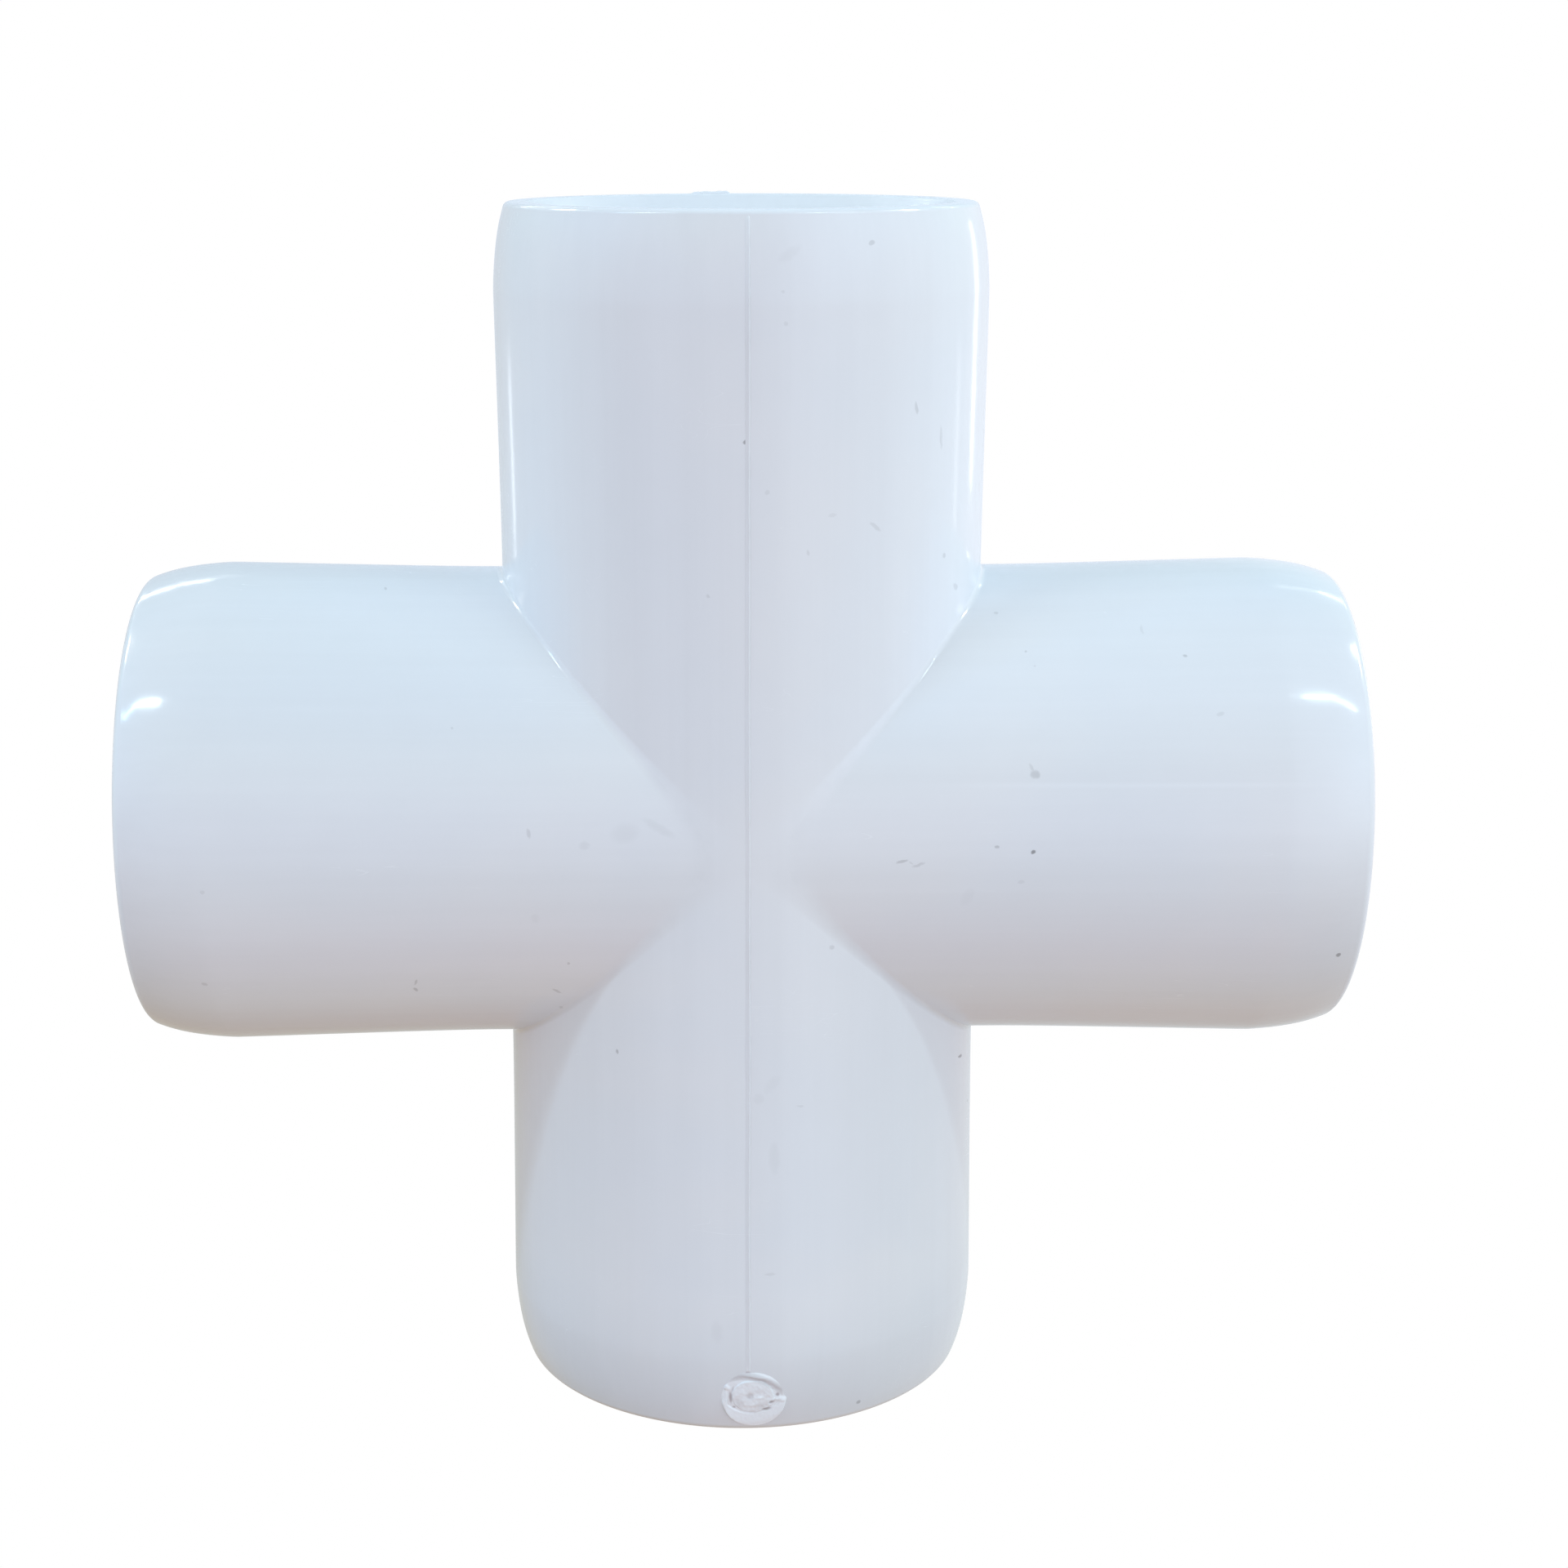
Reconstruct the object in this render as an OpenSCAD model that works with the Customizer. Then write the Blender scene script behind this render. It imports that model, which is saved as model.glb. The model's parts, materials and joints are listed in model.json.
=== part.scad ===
// Slip pipe cross: four equal socket arms in one plane, moulded in one shot.
// Origin where the two bore axes cross; the run stands along Z, the branches
// lie along X, and the moulding's marked face looks towards -Y.

/* [Run] */
// Outside diameter of the upright run where the branches meet it
run_od = 33.5; // [33.3:0.1:36]
// Outside diameter of the run's sockets just behind the rounded lip
run_socket_od = 33.9; // [33.6:0.1:36.5]

/* [Branches] */
// Outside diameter of the branches where they meet the run
branch_od = 33.1; // [31:0.1:33.2]
// Outside diameter of the branch sockets just behind the rounded lip
branch_socket_od = 33.9; // [32.5:0.1:36]

/* [Length] */
// Distance from the crossing of the axes to the end face of each arm
reach = 41.8; // [36:0.1:60]

/* [Sockets] */
// Bore of each socket, a push fit over a 26.67 mm pipe
socket_bore = 26.8; // [24:0.1:27.5]
// Depth from the end face to the pipe stop
socket_depth = 24.4; // [14:0.1:24.4]
// Width of the lead-in chamfer at the mouth
mouth_chamfer = 1.1; // [0.3:0.1:1.6]

/* [Lip] */
// Length of the outside lip that draws in towards the end face
lip_len = 5.8; // [3:0.1:8]
// How far the lip draws in before its corner rounds over
lip_drop = 0.8; // [0.2:0.1:1]
// Radius of the lip's rounded corner
lip_round = 0.9; // [0.2:0.05:1]

/* [Waterway] */
// Diameter of the waterway through the crossing
waterway_d = 21.2; // [12:0.1:22]

/* [Moulding marks] */
// Width of the raised line left where the mould halves meet
line_w = 0.24; // [0.1:0.02:0.5]
// Height of that line above the skin
line_h = 0.1; // [0.05:0.01:0.2]
// Diameter of the round moulding mark on the lower lip
mark_d = 4.8; // [2:0.1:5]
// How far the mark sits to the side of the parting line
mark_side = 0.45; // [0:0.05:1]
// Height of the round mark above the skin
mark_h = 0.18; // [0.12:0.01:0.3]
// Width of the ribs between the mark's ring and its button
mark_rib = 0.6; // [0.3:0.1:1]
// Height of the sliver of flash left on the upper rim
flash_h = 0.2; // [0.1:0.05:0.3]

/* [Hidden] */
$fn = 96;

skin_colour = [0.84, 0.88, 0.92];
overcut = 1; // how far cutting tools run past what they cut

// The pipe stops stand just outside the crotches, so each arm is a plain
// ring where it leaves the centre body.
crotch_gap = 0.6;
stop_at = max(reach - socket_depth, run_od / 2 + crotch_gap);

// The lip draws in partly in proportion to the way along it, and for the
// rest with the square of that.
lip_from = reach - lip_len;
lip_linear_share = 0.35;
lip_steps = 8;
round_steps = 5;

// Round mark: its distance below the crossing, and diameters as shares of mark_d
mark_rim_gap = 0.4;
mark_at = reach - mark_d / 2 - mark_rim_gap;
mark_line_gap = 0.1;
ring_inner_share = 0.74;
button_share = 0.56;
dimple_share = 0.14;
mark_tool_depth = 4;

// Flash: its thickness, and its place round the rim in degrees from +X
flash_w = 0.3;
flash_start = 91.5;
flash_sweep = 12;

// Outside radius of the lip, at share 0 to 1 of the way along it
function lip_r(socket_od, share) = socket_od / 2
    - lip_drop * (lip_linear_share * share + (1 - lip_linear_share) * share * share);

// Outside skin of one arm from the stop plane to the end face, as [r, z];
// grow stands the same line off the skin
function skin_line(arm_od, socket_od, grow = 0) = concat(
    [[arm_od / 2 + grow, stop_at]],
    [for (i = [0 : lip_steps]) let (share = i / lip_steps)
        [lip_r(socket_od, share) + grow, lip_from + share * (lip_len - lip_round)]],
    [for (i = [1 : round_steps]) let (angle = 90 * i / round_steps)
        [lip_r(socket_od, 1) - lip_round * (1 - cos(angle)) + grow * cos(angle),
         reach - lip_round + lip_round * sin(angle) + grow * sin(angle)]]);

function run_skin(grow = 0) = skin_line(run_od, run_socket_od, grow);

function reversed(points) = [for (i = [len(points) - 1 : -1 : 0]) points[i]];

// Closed outline of the band between two lines drawn the same way
function band(inner, outer) = concat(outer, reversed(inner));

// One socket, standing along +Z
module socket(arm_od, socket_od) {
    rotate_extrude()
        polygon(concat(
            skin_line(arm_od, socket_od),
            [[socket_bore / 2 + mouth_chamfer, reach],
             [socket_bore / 2, reach - mouth_chamfer],
             [socket_bore / 2, stop_at]]));
}

// Two cylinders crossing at the origin, along Z and along X
module crossed_cylinders(upright_d, level_d, length) {
    cylinder(d = upright_d, h = length, center = true);
    rotate([0, 90, 0])
        cylinder(d = level_d, h = length, center = true);
}

// Crossing of run and branches out to the four stop planes
module centre_body() {
    color(skin_colour)
    difference() {
        crossed_cylinders(run_od, branch_od, 2 * stop_at);
        crossed_cylinders(waterway_d, waterway_d, 2 * (stop_at + overcut));
    }
}

module top_socket() {
    color(skin_colour) socket(run_od, run_socket_od);
}

module bottom_socket() {
    color(skin_colour) rotate([180, 0, 0]) socket(run_od, run_socket_od);
}

module left_socket() {
    color(skin_colour) rotate([0, -90, 0]) socket(branch_od, branch_socket_od);
}

module right_socket() {
    color(skin_colour) rotate([0, 90, 0]) socket(branch_od, branch_socket_od);
}

// Points of the run's skin no further out than z_end
function skin_up_to(grow, z_end) = [for (point = run_skin(grow))
    if (point[1] <= z_end) point];

// The run's skin from the lower end point to the upper end point
function line_edge(grow, z_top, z_bottom) = concat(
    [for (point = reversed(skin_up_to(grow, z_bottom))) [point[0], -point[1]]],
    skin_up_to(grow, z_top));

// Raised line along the run on its +X side; each end falls on the last
// skin point within z_top above the crossing or z_bottom below it
module parting_line(z_top, z_bottom) {
    rotate([90, 0, 0])
        linear_extrude(line_w, center = true)
            polygon(band(line_edge(0, z_top, z_bottom),
                         line_edge(line_h, z_top, z_bottom)));
}

// Down the front from the upper lip to the round mark
module front_parting_line() {
    color(skin_colour) rotate([0, 0, -90])
        parting_line(reach - lip_round, mark_at - mark_d / 2 - mark_line_gap);
}

// The same line on the far side, lip to lip
module rear_parting_line() {
    color(skin_colour) rotate([0, 0, 90])
        parting_line(reach - lip_round, reach - lip_round);
}

// Thin shell over the lower lip, short of the rim
module lip_shell() {
    skin = run_skin();
    raised = run_skin(mark_h);
    last = len(skin) - 3;
    rotate([180, 0, 0])
        rotate_extrude()
            polygon(band([for (i = [1 : last]) skin[i]],
                         [for (i = [1 : last]) raised[i]]));
}

// Plan of the mark as a solid along +Z, its two ribs along X
module mark_plan() {
    tool_h = mark_tool_depth + 2 * overcut;
    difference() {
        cylinder(d = mark_d, h = mark_tool_depth);
        // Groove between ring and button, left uncut at the ribs
        translate([0, 0, -overcut]) difference() {
            cylinder(d = mark_d * ring_inner_share, h = tool_h);
            translate([0, 0, -overcut])
                cylinder(d = mark_d * button_share, h = tool_h + 2 * overcut);
            translate([-mark_d / 2, -mark_rib / 2, -overcut])
                cube([mark_d, mark_rib, tool_h + 2 * overcut]);
        }
        translate([0, 0, -overcut])
            cylinder(d = mark_d * dimple_share, h = tool_h);
    }
}

// Gate scar lying on the lip: a raised ring tied by two ribs to the
// dimpled button inside it
module moulding_mark() {
    color(skin_colour)
    intersection() {
        lip_shell();
        translate([mark_side, -run_socket_od / 2 - overcut, -mark_at])
            rotate([-90, 0, 0])
                mark_plan();
    }
}

// Sliver of flash standing on the rear of the upper rim
module rim_flash() {
    end_face_r = lip_r(run_socket_od, 1) - lip_round;
    color(skin_colour)
    rotate([0, 0, flash_start])
        rotate_extrude(angle = flash_sweep)
            translate([end_face_r - flash_w, reach]) square([flash_w, flash_h]);
}

centre_body();
top_socket();
bottom_socket();
left_socket();
right_socket();
front_parting_line();
rear_parting_line();
moulding_mark();
rim_flash();
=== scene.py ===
# A white moulded PVC pipe cross. The run stands along Z and the branch lies along
# X; their axes meet at the origin. Each of the four arms ends in an open socket.
# The front, with the moulding mark low on the run, faces -Y; the right arm is +X.
# Geometry is worked out in millimetres and scaled to metres as it is built.
import json
import math
from collections import namedtuple
from functools import reduce
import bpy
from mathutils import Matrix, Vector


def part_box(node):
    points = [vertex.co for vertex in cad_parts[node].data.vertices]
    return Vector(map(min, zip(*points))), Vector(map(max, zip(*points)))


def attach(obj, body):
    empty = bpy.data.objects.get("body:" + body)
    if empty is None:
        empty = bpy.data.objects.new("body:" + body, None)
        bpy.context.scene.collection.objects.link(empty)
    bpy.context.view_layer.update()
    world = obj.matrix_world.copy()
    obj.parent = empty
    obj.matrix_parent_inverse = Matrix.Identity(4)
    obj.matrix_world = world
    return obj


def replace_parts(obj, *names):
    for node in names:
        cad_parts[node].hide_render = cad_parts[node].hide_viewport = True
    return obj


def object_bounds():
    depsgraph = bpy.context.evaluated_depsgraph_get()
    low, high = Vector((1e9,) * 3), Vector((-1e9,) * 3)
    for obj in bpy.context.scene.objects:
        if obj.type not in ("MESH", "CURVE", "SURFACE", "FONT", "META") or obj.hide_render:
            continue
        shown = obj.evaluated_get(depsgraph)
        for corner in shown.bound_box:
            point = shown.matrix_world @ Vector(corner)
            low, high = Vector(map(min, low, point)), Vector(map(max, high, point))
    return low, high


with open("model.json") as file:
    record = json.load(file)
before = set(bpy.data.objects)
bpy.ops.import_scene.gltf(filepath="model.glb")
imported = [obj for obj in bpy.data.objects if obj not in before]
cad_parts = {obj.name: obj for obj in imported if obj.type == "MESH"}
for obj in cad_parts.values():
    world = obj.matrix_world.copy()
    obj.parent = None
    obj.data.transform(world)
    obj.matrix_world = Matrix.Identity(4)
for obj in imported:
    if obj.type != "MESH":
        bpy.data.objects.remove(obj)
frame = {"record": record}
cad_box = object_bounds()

from types import SimpleNamespace

import bpy
import numpy as np
from mathutils import Matrix, Vector

MM = 0.001                         # metres in a millimetre


# ------------------------------------------------------------ sizes (mm)
def box_mm(node):
    low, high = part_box(node)
    return [v * 1000 for v in low], [v * 1000 for v in high]


centre_high = box_mm("centre_body")[1]
top_high = box_mm("top_socket")[1]
MARK_LOW, MARK_HIGH = box_mm("moulding_mark")

STOP = centre_high[2]              # pipe stop planes, from the origin
REACH = top_high[2]                # end faces
RUN_R = centre_high[1]             # outside radii at the crossing
BRANCH_R = RUN_R - 0.2
BORE_R = [m for m in frame["record"]["mounts"] if m["kind"] == "bore"][0]["dims"]["r_mm"]
WATER_R = 10.6                     # waterway through the centre
STOP_ROUND = 0.3                   # soft edge between a pipe stop and the waterway
LIP_LEN = 5.8
LIP_ROUND = 0.9                    # corner between a lip and its end face
LIP_START = REACH - LIP_LEN
LIP_END = REACH - LIP_ROUND        # where the lip's own profile ends
CHAMFER = 1.1                      # at the mouth of the bore
CHAMFER_ROUND = 0.22               # soft edges on either side of it
FILLET = 0.28                      # moulded fillet in the outside crease
FILLET_OUT = 0.12                  # extra radius at the outermost crotches
WATER_FILLET = 0.35
QUARTER = 64                       # segments in a quarter turn
SLOPE_STEP = 1e-3                  # for slopes taken by differences

# Outside of an arm: radii at the crossing and behind the lip, how far the lip
# drops and the radius of its corner.
Arm = namedtuple("Arm", "root_r socket_r lip_drop lip_round")
RUN = Arm(RUN_R, top_high[1], 0.8, LIP_ROUND)
RUN_TOP = RUN._replace(lip_drop=0.62, lip_round=0.45)      # a crisper lip
BRANCH = Arm(BRANCH_R, box_mm("right_socket")[1][1], 0.8, LIP_ROUND)


# -------------------------------------------------------- mesh utilities
def smooth(t):
    t = np.clip(t, 0.0, 1.0)
    return t * t * (3 - 2 * t)


def noise_line(x, seed, step):
    """Smooth one-dimensional value noise in -1..1 at positions x."""
    x = np.asarray(x, float) / step
    i = np.floor(x).astype(int)
    share = smooth(x - i)
    table = np.random.RandomState(seed).uniform(-1, 1, 4096)
    return table[i % 4096] * (1 - share) + table[(i + 1) % 4096] * share


def noise_plane(x, y, seed, step):
    """Smooth two-dimensional value noise in -1..1."""
    x, y = np.asarray(x, float) / step + 500, np.asarray(y, float) / step + 500
    i, j = np.floor(x).astype(int), np.floor(y).astype(int)
    share_x, share_y = smooth(x - i), smooth(y - j)
    table = np.random.RandomState(seed).uniform(-1, 1, (128, 128))

    def row(j):
        return table[i % 128, j % 128] * (1 - share_x) + table[(i + 1) % 128, j % 128] * share_x
    return row(j) * (1 - share_y) + row(j + 1) * share_y


def make_object(name, verts, faces, material, normals=None, soil=None):
    """verts in mm, faces as index lists, normals one per face corner, soil one
    value per vertex for the dirt and the painted shade that darken it."""
    mesh = bpy.data.meshes.new(name)
    mesh.from_pydata([tuple(v) for v in (np.asarray(verts) * MM)], [],
                     [tuple(int(i) for i in face) for face in faces])
    mesh.update()
    mesh.polygons.foreach_set("use_smooth", [True] * len(mesh.polygons))
    if normals is not None:
        mesh.normals_split_custom_set([tuple(n) for n in normals])
    if soil is not None:
        layer = mesh.attributes.new("soil", "FLOAT", "POINT")
        layer.data.foreach_set("value", np.asarray(soil, np.float32))
    obj = bpy.data.objects.new(name, mesh)
    bpy.context.scene.collection.objects.link(obj)
    mesh.materials.append(material)
    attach(obj, "root")
    return obj


class Builder:
    """Quads gathered group by group, each group with its own normals, so a
    crisp edge between groups stays crisp and a curved skin stays smooth."""

    def __init__(self):
        self.points = []
        self.normals = []
        self.quads = []
        self.count = 0

    def grid(self, points, normals, flip=False, wrap=False):
        """Arrays (a, b, 3); wrap closes the second direction."""
        a, b = points.shape[:2]
        index = np.arange(a * b).reshape(a, b) + self.count
        self.points.append(points.reshape(-1, 3))
        self.normals.append(normals.reshape(-1, 3))
        self.count += a * b
        if wrap:
            index = np.concatenate([index, index[:, :1]], axis=1)
        quads = np.stack([index[:-1, :-1], index[1:, :-1], index[1:, 1:], index[:-1, 1:]], -1)
        quads = quads.reshape(-1, 4)
        self.quads.append(quads[:, ::-1] if flip else quads)

    def finish(self, name, material):
        """Merge coincident points, drop collapsed corners and build."""
        points = np.concatenate(self.points)
        normals = np.concatenate(self.normals)
        key = np.round(points * 20000).astype(np.int64)
        _, first, merged = np.unique(key, axis=0, return_index=True, return_inverse=True)
        merged = merged.reshape(-1)
        faces = []
        corner_normals = []
        for quad in np.concatenate(self.quads):
            ids = [int(merged[i]) for i in quad]
            keep = [k for k in range(4) if ids[k] != ids[(k + 1) % 4]]
            if len(keep) < 3 or len(set(ids[k] for k in keep)) < 3:
                continue
            faces.append([ids[k] for k in keep])
            corner_normals.extend(normals[quad[k]] for k in keep)
        unit = np.array(corner_normals)
        unit /= np.maximum(np.linalg.norm(unit, axis=1, keepdims=True), 1e-12)
        return make_object(name, points[first], faces, material, unit)


def arc(centre_r, centre_z, radius, start, end, steps):
    """Points and normals of an arc in (radius, height), angles in degrees."""
    angle = np.linspace(math.radians(start), math.radians(end), steps + 1)
    normals = np.stack([np.cos(angle), np.sin(angle)], -1)
    return np.stack([centre_r + radius * np.cos(angle),
                     centre_z + radius * np.sin(angle)], -1), normals


def revolve(profile, axis):
    """Rings (profile, turn, xyz) of (radius, height) rows about an arm's axis."""
    angle = np.arange(4 * QUARTER) * (math.pi / 2 / QUARTER)
    cos = profile[:, :1] * np.cos(angle)
    sin = profile[:, :1] * np.sin(angle)
    along = profile[:, 1:2] + 0 * angle
    return np.stack({"+z": (cos, sin, along), "-z": (cos, -sin, -along),
                     "+x": (along, cos, sin), "-x": (-along, -cos, sin)}[axis], -1)


def loft_faces(rows, columns, flip=False):
    """Faces of a closed section carried along rows, capped at both ends."""
    faces = []
    for i in range(rows - 1):
        for j in range(columns):
            a, b = i * columns + j, i * columns + (j + 1) % columns
            c, d = b + columns, a + columns
            faces.append([a, d, c, b] if flip else [a, b, c, d])
    ring = list(range(columns))
    last = [(rows - 1) * columns + j for j in ring]
    faces.append(ring if flip else ring[::-1])
    faces.append(last[::-1] if flip else last)
    return faces


# ------------------------------------------------------- skin of the arms
def skin_r(z, arm):
    """Outside radius of an arm at distance z from the crossing."""
    z = np.asarray(z, float)
    t = np.maximum((z - STOP) / (LIP_START - STOP), 0)
    ease = 0.15                    # the taper starts gently, off the crossing
    r = arm.root_r + (arm.socket_r - arm.root_r) * np.minimum(
        (t - ease * (1 - np.exp(-t / ease))) / (1 - ease * (1 - math.exp(-1 / ease))), 1.0)
    s = np.minimum((z - LIP_START) / (LIP_LEN - LIP_ROUND), 1)
    soft = 0.10                    # the lip starts with a soft corner
    s = 0.5 * (s + np.sqrt(s * s + soft * soft)) / (0.5 * (1 + math.sqrt(1 + soft * soft)))
    curve = 0.33 * s + 0.42 * s ** 2 + 0.25 * s ** 4
    return r - arm.lip_drop * curve * smooth((z - STOP) / 4.0)


def lip_corner(arm):
    """Slope of the lip where its profile ends (radians), and the corner arc it
    runs on to at that slope: start height and arc centre radius."""
    r = float(skin_r(LIP_END, arm))
    slope = math.atan(-(r - float(skin_r(LIP_END - SLOPE_STEP, arm))) / SLOPE_STEP)
    start_z = REACH - arm.lip_round * (1 - math.sin(slope))
    start_r = r - (start_z - LIP_END) * math.tan(slope)
    return slope, start_z, start_r - arm.lip_round * math.cos(slope)


def outline_r(z, arm):
    """Outside radius of an arm all the way to its end face."""
    slope, start_z, centre_r = lip_corner(arm)
    r = skin_r(np.minimum(z, LIP_END), arm)
    r = r - np.clip(z - LIP_END, 0, start_z - LIP_END) * math.tan(slope)
    q = np.clip((z - (REACH - arm.lip_round)) / arm.lip_round, -1, 0.995)
    return np.where(z > start_z, centre_r + arm.lip_round * np.sqrt(1 - q * q), r)


def outside_profile(arm):
    """Skin and lip, then the corner that tops out on the end face."""
    z = np.concatenate([np.linspace(STOP, LIP_START - 1.0, 22),
                        np.linspace(LIP_START - 1.0, LIP_START + 1.4, 21)[1:],
                        np.linspace(LIP_START + 1.4, LIP_END, 14)[1:]])
    r = skin_r(z, arm)
    slope = (skin_r(z + SLOPE_STEP, arm) - skin_r(z - SLOPE_STEP, arm)) / (2 * SLOPE_STEP)
    slope[0] = 0.0
    slope[-1] = (r[-1] - skin_r(z[-1] - SLOPE_STEP, arm)) / SLOPE_STEP
    end_slope, _, centre_r = lip_corner(arm)
    corner, corner_n = arc(centre_r, REACH - arm.lip_round, arm.lip_round,
                           math.degrees(end_slope), 90, 8)
    return (np.concatenate([np.stack([r, z], -1), corner]),
            np.concatenate([np.stack([np.ones_like(z), -slope], -1), corner_n]))


def socket(name, arm, axis, material):
    """A socket revolved about its own axis, from the stop plane outwards."""
    skin, skin_n = outside_profile(arm)
    # end face, soft inner edge, chamfer, soft edge into the bore
    edge = CHAMFER_ROUND
    setback = edge * math.tan(math.radians(22.5))
    rim_r = BORE_R + CHAMFER + setback
    rim, rim_n = arc(rim_r, REACH - edge, edge, 90, 135, 5)
    face = np.array([[r, REACH] for r in (skin[-1, 0], 0.5 * (skin[-1, 0] + rim_r), rim_r)])
    bore_top = REACH - CHAMFER - setback
    mouth, mouth_n = arc(BORE_R + edge, bore_top, edge, 135, 180, 5)
    bore_z = np.linspace(bore_top, STOP, 20)
    foot = np.linspace(BORE_R, arm.root_r, 4)
    slant = math.sqrt(.5)
    groups = [(skin, skin_n),
              (face, np.tile([0, 1.0], (3, 1))),
              (rim, rim_n),
              (np.array([rim[-1], mouth[0]]), np.tile([-slant, slant], (2, 1))),
              (mouth, mouth_n),
              (np.stack([np.full_like(bore_z, BORE_R), bore_z], -1),
               np.tile([-1.0, 0], (len(bore_z), 1))),
              (np.stack([foot, np.full_like(foot, STOP)], -1), np.tile([0, -1.0], (4, 1)))]
    builder = Builder()
    for profile, normals in groups:
        builder.grid(revolve(profile, axis), revolve(normals, axis), flip=True, wrap=True)
    return builder.finish(name, material)


# --------------------------------------------------- crossing of two tubes
def outer_fillet(points):
    """The crease is tight on the front and rear faces and opens at the corners."""
    return FILLET + FILLET_OUT * (1 - smooth((np.abs(points[..., 1]) - 4.0) / 6.5))


def crossing(points, run_r, branch_r, fillet):
    """Distance to two crossed cylinders, the run along Z and the branch along
    X, with a round fillet where they meet, and its gradient."""
    x, y, z = points[..., 0], points[..., 1], points[..., 2]
    if callable(fillet):
        fillet = fillet(points)
    from_run = np.maximum(np.hypot(x, y), 1e-9)
    from_branch = np.maximum(np.hypot(y, z), 1e-9)
    run_gap, branch_gap = from_run - run_r, from_branch - branch_r
    run_way = np.stack([x / from_run, y / from_run, 0 * x], -1)
    branch_way = np.stack([0 * x, y / from_branch, z / from_branch], -1)
    u, v = np.maximum(fillet - run_gap, 0), np.maximum(fillet - branch_gap, 0)
    length = np.hypot(u, v)
    distance = np.maximum(fillet, np.minimum(run_gap, branch_gap)) - length
    blend = (u[..., None] * run_way + v[..., None] * branch_way) / \
        np.maximum(length, 1e-9)[..., None]
    nearest = np.where((run_gap < branch_gap)[..., None], run_way, branch_way)
    return distance, np.where((length < 1e-9)[..., None], nearest, blend)


def settle(points, run_r, branch_r, fillet):
    """Move points onto the crossed tubes; returns them with their normals."""
    for _ in range(8):
        gap, way = crossing(points, run_r, branch_r, fillet)
        points = points - (gap / np.maximum((way * way).sum(-1), 1e-6))[..., None] * way
    _, way = crossing(points, run_r, branch_r, fillet)
    return points, way / np.linalg.norm(way, axis=-1, keepdims=True)


def spaced(length, steps, first):
    """Steps that add up to length, growing from the first one."""
    if length <= steps * first:
        return np.linspace(0, length, steps + 1)
    low, high = 1.0 + 1e-9, 3.0
    for _ in range(60):
        growth = 0.5 * (low + high)
        if first * (growth ** steps - 1) / (growth - 1) > length:
            high = growth
        else:
            low = growth
    d = first * (growth ** np.arange(steps + 1) - 1) / (growth - 1)
    return d * length / d[-1]


def crossing_octant(run_r, branch_r, fillet, stop, steps, first):
    """Grid over one eighth of the crossed tubes: rows turn from the front face
    to the side, columns run from the run's ring to the branch's."""
    mean_r = 0.5 * (run_r + branch_r)

    def blended(distance, tube_r):
        share = min(1.0, distance / 2.0)
        return mean_r * (1 - share) + tube_r * share

    points = np.zeros((QUARTER + 1, 2 * steps + 1, 3))
    for i, turn in enumerate(np.linspace(0, math.pi / 2, QUARTER + 1)):
        sin, cos = math.sin(turn), math.cos(turn)
        x, z = run_r * sin, branch_r * sin         # the crease on this row
        up = spaced(stop - z, steps, first)
        out = spaced(stop - x, steps, first)
        for k in range(steps + 1):
            rise = up[steps - k]
            points[i, k] = (x, -blended(rise, run_r) * cos, z + rise)
            points[i, steps + k] = (x + out[k], -blended(out[k], branch_r) * cos, z)
        points[i, steps] = (x, -mean_r * cos, z)
        points[i, 0] = (x, -run_r * cos, stop)
        points[i, 2 * steps] = (stop, -branch_r * cos, z)
    settled, normals = settle(points, run_r, branch_r, fillet)
    settled[:, 0], settled[:, -1] = points[:, 0], points[:, -1]
    return settled, normals


def centre(material):
    """Outside skin, waterway and the four pipe stops."""
    builder = Builder()
    outer, outer_n = crossing_octant(RUN_R, BRANCH_R, outer_fillet, STOP, 26, 0.055)
    inner, inner_n = crossing_octant(WATER_R, WATER_R, WATER_FILLET, STOP - STOP_ROUND, 16, 0.1)
    for sx in (1, -1):
        for sy in (1, -1):
            for sz in (1, -1):
                mirror = np.array([sx, sy, sz], float)
                odd = (sx * sy * sz) < 0
                builder.grid(outer * mirror, outer_n * mirror, flip=not odd)
                builder.grid(inner * mirror, -inner_n * mirror, flip=odd)
    edge, edge_n = arc(WATER_R + STOP_ROUND, STOP - STOP_ROUND, STOP_ROUND, 180, 90, 6)
    for axis, outside_r in (("+z", RUN_R), ("-z", RUN_R), ("+x", BRANCH_R), ("-x", BRANCH_R)):
        radii = (WATER_R + STOP_ROUND, BORE_R - 0.05, BORE_R, 0.5 * (BORE_R + outside_r),
                 outside_r)
        flat = np.array([[r, STOP] for r in radii])
        for profile, normals in ((edge, edge_n), (flat, np.tile([0, 1.0], (5, 1)))):
            builder.grid(revolve(profile, axis), revolve(normals, axis), wrap=True)
    return builder.finish("centre_skin", material)


# -------------------------------------------------------- parting lines
# Closed by a foot below the skin: place across in widths (+X is positive),
# height as a share of the ridge (negative: sunk), darkness. One mould half
# stands proud: a long, darkened shoulder on the -X side, a short one on the other.
LINE_SECTION = [
    (-1.10, -0.05, 0.05), (-0.98, 0.10, 0.30), (-0.70, 0.22, 0.75), (-0.35, 0.34, 1.0),
    (0.0, 0.48, 1.0), (0.22, 0.74, 0.75), (0.38, 0.97, 0.25), (0.52, 1.0, 0.0),
    (0.70, 0.78, 0.0), (0.90, 0.35, 0.0), (1.02, -0.05, 0.0)]
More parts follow.
